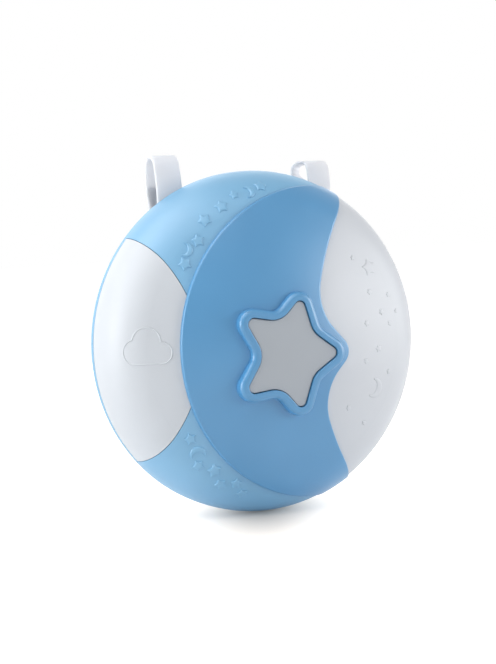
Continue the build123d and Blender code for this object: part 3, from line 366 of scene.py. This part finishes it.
def dome_point(point, lift):
    """Nearest point of the front skin to a point, moved out along its normal, and that normal."""
    radius = math.hypot(point[0], point[2])
    height = -point[1] - REAR_DEPTH
    if radius < TANGENT_SLOPE * (height - CROWN_BASE):
        centre, length = Vector((0, CROWN_BASE)), CROWN_RADIUS
    else:
        centre, length = Vector((KNUCKLE_X, RIM_BAND)), KNUCKLE_RADIUS
    outward = (Vector((radius, height)) - centre).normalized()
    place = centre + outward * (length + lift)
    around = Vector((point[0], point[2])) / max(radius, 1e-9)
    normal = Vector((outward.x * around.x, -outward.y, outward.x * around.y))
    return Vector((place.x * around.x, -REAR_DEPTH - place.y, place.x * around.y)), normal


def dome_frame(x, z, turn):
    """Point of the skin at X and Z, with the right and up directions along the skin, turned by degrees."""
    radius = math.hypot(x, z)
    if radius < CROWN_RADIUS * math.sin(math.atan(TANGENT_SLOPE)):
        height = CROWN_BASE + math.sqrt(CROWN_RADIUS**2 - radius**2)
    else:
        height = RIM_BAND + math.sqrt(KNUCKLE_RADIUS**2 - (radius - KNUCKLE_X) ** 2)
    origin, normal = dome_point((x, -REAR_DEPTH - height, z), 0)
    up = Vector((0, 0, 1))
    up = (up - normal * up.dot(normal)).normalized()
    right = up.cross(normal)
    angle = math.radians(turn)
    along = right * math.cos(angle) + up * math.sin(angle)
    across = up * math.cos(angle) - right * math.sin(angle)
    return origin, along, across


def laid(spot, flat, lift):
    """Flat offset from a spot of the dome, laid on the skin."""
    origin, along, across = spot
    return dome_point(origin + along * flat[0] + across * flat[1], lift)[0]


STAR_POINTS = 5
STAR_WAIST = 0.52
STAR_SMOOTHING = 2
CORNER_CUT = 0.2
MOTIF_SINK = -0.35
# Share of the outline, and lift off the skin
STAR_PROFILE = ((1.06, MOTIF_SINK), (1.06, 0.0), (1.0, 0.26), (0.92, 0.38), (0.6, 0.42), (0.25, 0.44))


def star_outline(radius):
    """Five-pointed star with softened corners."""
    points = []
    for corner in range(2 * STAR_POINTS):
        reach = radius if corner % 2 == 0 else radius * STAR_WAIST
        angle = math.radians(90 + 180 / STAR_POINTS * corner)
        points.append(Vector((reach * math.cos(angle), reach * math.sin(angle))))
    for _ in range(STAR_SMOOTHING):
        softer = []
        for index, point in enumerate(points):
            following = points[(index + 1) % len(points)]
            softer.append(point.lerp(following, CORNER_CUT))
            softer.append(point.lerp(following, 1 - CORNER_CUT))
        points = softer
    return points


def raised_star(name, x, z, radius, turn, look, height):
    """Star on the skin, flat on top with rounded edges."""
    spot = dome_frame(x, z, turn)
    outline = star_outline(radius)
    size = len(outline)
    points = []
    for scale, lift in STAR_PROFILE:
        raised = lift * height if lift > 0 else lift
        points += [laid(spot, point * scale, raised) for point in outline]
    faces = tube_faces(len(STAR_PROFILE), size, False)
    return mesh_object(name, points, faces, look, "housing")


CRESCENT_STEPS = 28
CRESCENT_SPAN = 215.0
CRESCENT_FAT = 0.3
CRESCENT_HORN = 0.04
CRESCENT_INSET = 0.35
# Share of the half width across the crescent, and lift off the skin
CRESCENT_PROFILE = (
    (-1.12, MOTIF_SINK), (-1.06, 0.0), (-0.92, 0.28), (-0.6, 0.4), (0.0, 0.44),
    (0.6, 0.4), (0.92, 0.28), (1.06, 0.0), (1.12, MOTIF_SINK),
)


def raised_crescent(name, x, z, radius, turn, look, height):
    """Crescent that opens to the right before it is turned."""
    spot = dome_frame(x, z, turn)
    points = []
    for step in range(CRESCENT_STEPS + 1):
        share = step / CRESCENT_STEPS
        angle = math.radians(180 + (share - 0.5) * CRESCENT_SPAN)
        half = radius * (CRESCENT_HORN + CRESCENT_FAT * math.sin(math.pi * share))
        middle = radius * (1 - CRESCENT_FAT / 2) - half * CRESCENT_INSET
        for across, lift in CRESCENT_PROFILE:
            reach = middle + across * half
            raised = lift * height if lift > 0 else lift
            points.append(laid(spot, (reach * math.cos(angle), reach * math.sin(angle)), raised))
    faces = tube_faces(CRESCENT_STEPS + 1, len(CRESCENT_PROFILE), False)
    return mesh_object(name, points, faces, look, "housing")


# Motifs on the blue band: kind, X, Z, radius and turn
BAND_MOTIFS = (
    ("star", -2.0, 90.5, 4.3, -8), ("crescent", -11.4, 87.3, 4.2, 190), ("star", -19.7, 86.0, 3.2, 20),
    ("star", -28.7, 79.8, 4.4, 14), ("star", -39.9, 72.5, 4.4, 34), ("star", -45.5, 61.1, 4.2, 10),
    ("crescent", -53.6, 56.7, 4.6, 165), ("star", -54.5, 48.5, 4.3, 24),
    ("star", -55.8, -50.4, 3.8, 18), ("crescent", -51.0, -60.2, 5.0, -80), ("star", -50.4, -66.3, 3.9, 30),
    ("star", -41.1, -70.0, 4.6, 8), ("star", -36.7, -78.5, 3.9, 22), ("star", -27.6, -78.8, 3.8, -6),
    ("star", -22.9, -85.3, 3.6, 16),
)
# Motifs on the white dome: the two large ones and a scatter of small stars
LENS_MOTIFS = (
    ("star", 61.4, 40.5, 5.4, 12), ("crescent", 60.3, -30.0, 6.2, 160),
    ("star", 50.3, 46.6, 1.8, 0), ("star", 59.9, 26.3, 2.0, 30), ("star", 74.0, 23.9, 1.8, 10),
    ("star", 67.9, 14.1, 2.1, 40), ("star", 79.3, 13.9, 1.6, 0), ("star", 56.3, 8.2, 2.1, 20),
    ("star", 73.8, 7.1, 2.0, 50), ("star", 64.4, -7.3, 2.4, 15), ("star", 54.7, -13.8, 2.0, 35),
    ("star", 71.9, -21.4, 1.8, 5), ("star", 42.2, -40.3, 2.0, 25), ("star", 54.1, -50.2, 1.9, 45),
)
BAND_RELIEF = 1.5
LENS_RELIEF = 0.6
MAKERS = {"star": raised_star, "crescent": raised_crescent}
for group, motifs, look, relief in (
    ("band", BAND_MOTIFS, "blue_shell", BAND_RELIEF),
    ("lens", LENS_MOTIFS, "white_lens", LENS_RELIEF),
):
    for number, (kind, x, z, radius, turn) in enumerate(motifs):
        MAKERS[kind]("%s_%s_%02d" % (group, kind, number), x, z, radius, turn, look, relief)


# Plain cloud in fine raised line on the left panel
CLOUD_X = -79.0
CLOUD_Z = 0.0
CLOUD_LOBES = ((-7.5, 0.5, 7.0), (-0.3, 6.0, 8.2), (8.2, -0.5, 6.0))
CLOUD_FLOOR = -6.5
CLOUD_STEPS = 260
# Place across the line, and lift off the skin
LINE_PROFILE = (
    (-0.55, -0.3), (-0.45, 0.0), (-0.26, 0.26), (0.0, 0.34), (0.26, 0.26), (0.45, 0.0), (0.55, -0.3),
)


def cloud_outline():
    """Outline round overlapping lobes, with a flat base tangent to the two outer ones."""
    left, right = CLOUD_LOBES[0][0], CLOUD_LOBES[-1][0]
    points = []
    for step in range(CLOUD_STEPS):
        angle = 2 * math.pi * step / CLOUD_STEPS
        ray = Vector((math.cos(angle), math.sin(angle)))
        reach = 0.0
        for x, y, radius in CLOUD_LOBES:
            along = ray.x * x + ray.y * y
            gap = radius**2 - (x * x + y * y - along**2)
            if gap > 0:
                reach = max(reach, along + math.sqrt(gap))
        if ray.y < 0:
            base = CLOUD_FLOOR / ray.y
            if left <= ray.x * base <= right:
                reach = base
        points.append(ray * reach)
    return points


def raised_line(name, spot, outline, look):
    """Fine raised line along a closed outline on the dome."""
    points = []
    count = len(outline)
    for index, point in enumerate(outline):
        run = outline[(index + 1) % count] - outline[index - 1]
        side = Vector((run.y, -run.x)).normalized()
        points += [laid(spot, point + side * across, lift) for across, lift in LINE_PROFILE]
    return mesh_object(name, points, tube_faces(count, len(LINE_PROFILE), True), look, "housing")


raised_line("panel_cloud", dome_frame(CLOUD_X, CLOUD_Z, 0), cloud_outline(), "white_panel")


# Straps

PATH_STEP = 0.45
ACROSS_STEPS = 36
EDGE_ROUND = 0.7


def belly_centre(foot, top, foot_radius, top_radius, belly_radius, side):
    """Centre of the arc that runs tangent round both ends of the loop, on one side."""
    span = top - foot
    to_foot, to_top = belly_radius - foot_radius, belly_radius - top_radius
    along = (to_foot**2 - to_top**2 + span.length_squared) / (2 * span.length)
    across = math.sqrt(to_foot**2 - along**2)
    direction = span.normalized()
    return foot + direction * along + Vector((-direction.y, direction.x)) * (side * across)


def loop_path(top_z, top_round):
    """Mid-line of a strap loop as (Y, Z) places with outward normals, and its rear run's first and last."""
    foot = Vector((-BAR_DEPTH, BAR_Z))
    top = Vector((-BAR_DEPTH + LOOP_LEAN, top_z - top_round - STRAP_THICK / 2))
    front = belly_centre(foot, top, LOOP_FOOT, top_round, LOOP_FRONT_RADIUS, -1)
    rear = belly_centre(foot, top, LOOP_FOOT, top_round, LOOP_REAR_RADIUS, 1)
    arcs = (
        (foot, LOOP_FOOT, foot - front, foot - rear),
        (rear, LOOP_REAR_RADIUS, foot - rear, top - rear),
        (top, top_round, top - rear, top - front),
        (front, LOOP_FRONT_RADIUS, top - front, foot - front),
    )
    path = []
    marks = []
    for centre, radius, start, end in arcs:
        marks.append(len(path))
        first = math.atan2(start.y, start.x)
        sweep = (math.atan2(end.y, end.x) - first) % (2 * math.pi)
        count = max(3, round(sweep * radius / PATH_STEP))
        for step in range(count):
            angle = first + sweep * step / count
            normal = Vector((math.cos(angle), math.sin(angle)))
            path.append((centre + normal * radius, normal))
    return path, marks[1], marks[2]


def smooth_rise(value):
    """Soft step from 0 to 1, level at both ends."""
    value = min(max(value, 0.0), 1.0)
    return value * value * (3 - 2 * value)


def band_frame(spot, normal, centre_x, bend):
    """Centre, width direction and normal of the webbing at a place of its loop, with its bend about Z."""
    shift, turn = bend(spot, normal)
    width = Vector((math.cos(turn), math.sin(turn), 0))
    out = Vector((-normal.x * math.sin(turn), normal.x * math.cos(turn), normal.y))
    return Vector((centre_x + shift, spot.x, spot.y)), width, out


def band_section(width, thick):
    """Closed section of a band with rounded edges: places across, and heights."""
    upper = []
    for step in range(ACROSS_STEPS + 1):
        across = -math.cos(math.pi * step / ACROSS_STEPS) * width / 2
        edge = min(1.0, (width / 2 - abs(across)) / EDGE_ROUND)
        upper.append((across, thick / 2 * math.sqrt(1 - (1 - edge) ** 2)))
    return upper + [(across, -height) for across, height in reversed(upper[1:-1])]


def band_mesh(name, frames, section, closed, look, body):
    """Band swept through frames, with its width and run kept in millimetres in a UV map."""
    points = []
    runs = []
    run = 0.0
    for index, (centre, width, out) in enumerate(frames):
        if index:
            run += (centre - frames[index - 1][0]).length
        runs.append(run)
        points += [centre + width * across + out * height for across, height in section]
    piece = mesh_object(name, points, tube_faces(len(frames), len(section), closed), look, body)
    layer = piece.data.uv_layers.new(name="weave")
    size = len(section)
    whole = run + (frames[0][0] - frames[-1][0]).length
    for face in piece.data.polygons:
        rings = [piece.data.loops[corner].vertex_index // size for corner in face.loop_indices]
        wraps = closed and max(rings) - min(rings) > 1
        for corner, ring in zip(face.loop_indices, rings):
            across = section[piece.data.loops[corner].vertex_index % size][0]
            layer.data[corner].uv = (across, whole if wraps and ring == 0 else runs[ring])
    return piece


STITCH_LENGTH = 1.5
STITCH_RADIUS = 0.22
STITCH_GAP = 0.9
STITCH_INSET = 1.3
STITCH_SIDES = 8
# Place along the stitch as a share of its length, and share of its radius
STITCH_RINGS = ((-0.5, 0.25), (-0.42, 0.75), (-0.25, 1.0), (0.25, 1.0), (0.42, 0.75), (0.5, 0.25))


def stitch_rings(middle, along, out, points, faces):
    """One thread stitch as a short rounded bead."""
    side = along.cross(out)
    start = len(points)
    for reach, share in STITCH_RINGS:
        for step in range(STITCH_SIDES):
            angle = 2 * math.pi * step / STITCH_SIDES
            spoke = side * math.cos(angle) + out * math.sin(angle)
            points.append(middle + along * (reach * STITCH_LENGTH) + spoke * (share * STITCH_RADIUS))
    bead = tube_faces(len(STITCH_RINGS), STITCH_SIDES, False)
    faces += [[start + index for index in face] for face in bead]


def patch_stitches(name, frames, width, lift, body):
    """Rows of stitches along the four edges of the closure patch."""
    points = []
    faces = []
    pitch = STITCH_LENGTH + STITCH_GAP
    lengths = [0.0]
    for before, after in zip(frames, frames[1:]):
        lengths.append(lengths[-1] + (after[0] - before[0]).length)
    half = width / 2 - STITCH_INSET

    def frame_at(run):
        index = min(range(len(lengths)), key=lambda step: abs(lengths[step] - run))
        index = min(index, len(frames) - 2)
        return frames[index], (frames[index + 1][0] - frames[index][0]).normalized()

    rows = int((lengths[-1] - 2 * STITCH_INSET) / pitch)
    for row in range(rows + 1):
        (centre, across, out), along = frame_at(STITCH_INSET + row * pitch)
        for side in (-1, 1):
            stitch_rings(centre + across * (side * half) + out * lift, along, out, points, faces)
    columns = int(2 * half / pitch)
    for end in (STITCH_INSET, lengths[-1] - STITCH_INSET):
        (centre, across, out), along = frame_at(end)
        for column in range(1, columns):
            place = -half + 2 * half * column / columns
            stitch_rings(centre + across * place + out * lift, across, out, points, faces)
    return mesh_object(name, points, faces, "webbing", body)


LEFT_SHIFT = 1.3
RIGHT_SHIFT = 0.8
RIGHT_FRONT_SWAY = 2.0
RIGHT_FRONT_TURN = math.radians(9)
RIGHT_REAR_SWAY = -7.4
RIGHT_REAR_TURN = math.radians(50)
# Heights from which the two runs bend, and over which they do so
FRONT_BEND_FROM = 80.0
FRONT_BEND_OVER = 16.0
REAR_BEND_FROM = 86.0
REAR_BEND_OVER = 12.0
# Where the loop's normal, which turns to +Y at the rear, starts to count as the rear run, and over what span
REAR_SHARE_FROM = -0.5
REAR_SHARE_OVER = 1.4


def left_bend(spot, normal):
    """The left loop sits to one side in its pocket."""
    return LEFT_SHIFT, 0.0


def right_bend(spot, normal):
    """Above the housing the right loop's front run leans out, and its rear run swings in and turns."""
    rear = smooth_rise((normal.x - REAR_SHARE_FROM) / REAR_SHARE_OVER)
    front_rise = smooth_rise((spot.y - FRONT_BEND_FROM) / FRONT_BEND_OVER)
    rear_rise = smooth_rise((spot.y - REAR_BEND_FROM) / REAR_BEND_OVER)
    shift = RIGHT_SHIFT + RIGHT_FRONT_SWAY * front_rise * (1 - rear) + RIGHT_REAR_SWAY * rear_rise * rear
    turn = RIGHT_FRONT_TURN * front_rise * (1 - rear) + RIGHT_REAR_TURN * rear_rise * rear
    return shift, turn


STRAPS = (
    ("left", "strap_l", -STRAP_X, LEFT_LOOP_TOP, LEFT_LOOP_ROUND, left_bend),
    ("right", "strap_r", STRAP_X, RIGHT_LOOP_TOP, RIGHT_LOOP_ROUND, right_bend),
)
for side, body, centre_x, top_z, top_round, bend in STRAPS:
    path, rear_start, rear_end = loop_path(top_z, top_round)
    frames = [band_frame(spot, normal, centre_x, bend) for spot, normal in path]
    strap_section = band_section(STRAP_WIDTH, STRAP_THICK)
    strap = band_mesh("webbing_" + side, frames, strap_section, True, "webbing", body)
    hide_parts("strap_" + side)
    middle = (rear_start + rear_end) // 2
    reach = round(math.radians(CLOSURE_ANGLE) * LOOP_REAR_RADIUS / PATH_STEP / 2)
    lift = STRAP_THICK / 2 + CLOSURE_GAP + CLOSURE_THICK / 2
    patch_frames = []
    for centre, width, out in frames[middle - reach:middle + reach + 1]:
        patch_frames.append((centre + out * lift, width, out))
    patch_width = STRAP_WIDTH - 2 * CLOSURE_INSET
    patch_section = band_section(patch_width, CLOSURE_THICK)
    patch = band_mesh("closure_" + side, patch_frames, patch_section, False, "closure_fabric", body)
    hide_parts("strap_closure_" + side)
    patch_stitches("closure_stitches_" + side, patch_frames, patch_width, CLOSURE_THICK / 2, body)


# Floor, light and camera

FLOOR_Z = -0.1002
FLOOR_SIZE = 12.0
# The floor's colour for the light that it passes on, and a darker one for what is seen directly, painted
# shade that deepens the shadow seen on it
FLOOR_WHITE = (0.86, 0.86, 0.86, 1)
FLOOR_SEEN_DARKENED = (0.52, 0.48, 0.44, 1)
# The floor's own glow: seen directly, low beside the object, which paints a shadow there, and full away from
# it; and as a bounce on the object
FLOOR_GLOW = (0.1, 1.0)
FLOOR_BOUNCE = 0.1
# Ellipse of painted shadow round the contact, in which the glow rises: centre and radii in metres, and turn
# about Z
FLOOR_PAINTED_SHADOW_CENTRE = (0, -0.024, FLOOR_Z)
FLOOR_PAINTED_SHADOW_RADII = (0.056, 0.19, 1)
FLOOR_PAINTED_SHADOW_TURN = math.radians(-24)


def seen_directly(tree):
    """1 for camera, glossy and transmission rays, else 0."""
    path = tree.nodes.new("ShaderNodeLightPath")
    either = path.outputs["Is Camera Ray"]
    for ray in ("Is Glossy Ray", "Is Transmission Ray"):
        larger = tree.nodes.new("ShaderNodeMath")
        larger.operation = "MAXIMUM"
        tree.links.new(either, larger.inputs[0])
        tree.links.new(path.outputs[ray], larger.inputs[1])
        either = larger.outputs["Value"]
    return either


def pale_floor():
    """White floor that keeps the shadow, with painted shade seen directly and a painted shadow round the
    object, and goes over to plain white away from it.
    """
    material = bpy.data.materials.new("pale_floor")
    material.use_nodes = True
    tree = material.node_tree
    tree.nodes.clear()
    output = tree.nodes.new("ShaderNodeOutputMaterial")
    seen = seen_directly(tree)
    # Seen directly the floor is drawn darker than its own white: painted shade
    shade = tree.nodes.new("ShaderNodeMix")
    shade.data_type = "RGBA"
    shade.inputs["A"].default_value = FLOOR_WHITE
    shade.inputs["B"].default_value = FLOOR_SEEN_DARKENED
    tree.links.new(seen, shade.inputs["Factor"])
    diffuse = tree.nodes.new("ShaderNodeBsdfDiffuse")
    tree.links.new(shade.outputs["Result"], diffuse.inputs["Color"])
    glow = tree.nodes.new("ShaderNodeEmission")
    place = tree.nodes.new("ShaderNodeTexCoord")
    squeeze = tree.nodes.new("ShaderNodeMapping")
    squeeze.vector_type = "TEXTURE"
    squeeze.inputs["Location"].default_value = FLOOR_PAINTED_SHADOW_CENTRE
    squeeze.inputs["Rotation"].default_value = (0, 0, FLOOR_PAINTED_SHADOW_TURN)
    squeeze.inputs["Scale"].default_value = FLOOR_PAINTED_SHADOW_RADII
    tree.links.new(place.outputs["Object"], squeeze.inputs["Vector"])
    distance = tree.nodes.new("ShaderNodeVectorMath")
    distance.operation = "LENGTH"
    tree.links.new(squeeze.outputs["Vector"], distance.inputs[0])
    # Painted shadow: the glow seen directly stays low inside the ellipse and rises to full white outside it
    rise = tree.nodes.new("ShaderNodeMapRange")
    rise.interpolation_type = "SMOOTHSTEP"
    rise.inputs["To Min"].default_value = FLOOR_GLOW[0]
    rise.inputs["To Max"].default_value = FLOOR_GLOW[1]
    tree.links.new(distance.outputs["Value"], rise.inputs["Value"])
    strength = tree.nodes.new("ShaderNodeMix")
    strength.inputs["A"].default_value = FLOOR_BOUNCE
    tree.links.new(rise.outputs["Result"], strength.inputs["B"])
    tree.links.new(seen, strength.inputs["Factor"])
    tree.links.new(strength.outputs["Result"], glow.inputs["Strength"])
    both = tree.nodes.new("ShaderNodeAddShader")
    tree.links.new(diffuse.outputs["BSDF"], both.inputs[0])
    tree.links.new(glow.outputs["Emission"], both.inputs[1])
    tree.links.new(both.outputs["Shader"], output.inputs["Surface"])
    return material


half_floor = FLOOR_SIZE / 2
floor_mesh = bpy.data.meshes.new("floor")
floor_mesh.from_pydata(
    [(x * half_floor, y * half_floor, FLOOR_Z) for x, y in ((-1, -1), (1, -1), (1, 1), (-1, 1))],
    [],
    [(0, 1, 2, 3)],
)
floor_mesh.materials.append(pale_floor())
floor = bpy.data.objects.new("floor", floor_mesh)
bpy.context.scene.collection.objects.link(floor)

# White all round for what is seen directly, and a dim light from there on the object
AMBIENT = 0.08
world = bpy.data.worlds.new("studio")
bpy.context.scene.world = world
world.use_nodes = True
tree = world.node_tree
background = tree.nodes["Background"]
background.inputs["Color"].default_value = (1, 1, 1, 1)
spread = tree.nodes.new("ShaderNodeMapRange")
spread.inputs["To Min"].default_value = AMBIENT
spread.inputs["To Max"].default_value = 1.0
tree.links.new(seen_directly(tree), spread.inputs["Value"])
tree.links.new(spread.outputs["Result"], background.inputs["Strength"])


def softbox(name, place, size, power):
    """Rectangular lamp that faces the object."""
    lamp = bpy.data.lights.new(name, "AREA")
    lamp.shape = "RECTANGLE"
    lamp.size, lamp.size_y = size
    lamp.energy = power
    box = bpy.data.objects.new(name, lamp)
    box.location = place
    box.rotation_euler = (LAMP_AIM - Vector(place)).to_track_quat("-Z", "Y").to_euler()
    bpy.context.scene.collection.objects.link(box)


LAMP_AIM = Vector((0, -0.03, 0))
# Name, place and size in metres, and power in watts
SOFTBOXES = (
    ("left_high", (-0.598, -0.051, 0.923), (1.0, 0.9), 8.4),
    ("left_low", (-1.09, -0.06, 0.16), (0.3, 0.6), 6.0),
    ("left_front", (-0.992, -0.492, 0.115), (0.3, 0.6), 1.2),
    ("front_high", (-0.15, -0.75, 0.81), (0.7, 0.6), 2.3),
    ("right_low", (0.967, -0.544, 0.096), (0.9, 0.6), 9.0),
    ("rear_high", (0.15, 1.0, 0.5), (1.6, 1.2), 5.0),
)
for name, place, size, power in SOFTBOXES:
    softbox(name, place, size, power)

# Camera, fitted to the rim's outline in the photograph
VIEW_FROM = Vector((-0.4036, -0.9126, 0.0652))
VIEW_UP = Vector((0.0489, 0, 0.9988))
VIEW_DISTANCE = 1.18
RIM_CENTRE = Vector((0, -REAR_DEPTH * MM, 0))
FOCAL_LENGTH = 108.4
SENSOR_WIDTH = 36
LENS_SHIFT = (-0.0053, 0.0134)
lens = bpy.data.cameras.new("camera")
lens.lens = FOCAL_LENGTH
lens.sensor_width = SENSOR_WIDTH
lens.shift_x, lens.shift_y = LENS_SHIFT
camera = bpy.data.objects.new("camera", lens)
bpy.context.scene.collection.objects.link(camera)
back = VIEW_FROM.normalized()
right = VIEW_UP.cross(back).normalized()
up = back.cross(right)
place = RIM_CENTRE + VIEW_FROM * VIEW_DISTANCE
camera.matrix_world = Matrix.Translation(place) @ Matrix((right, up, back)).transposed().to_4x4()
bpy.context.scene.camera = camera
bpy.context.scene.view_settings.view_transform = "Standard"
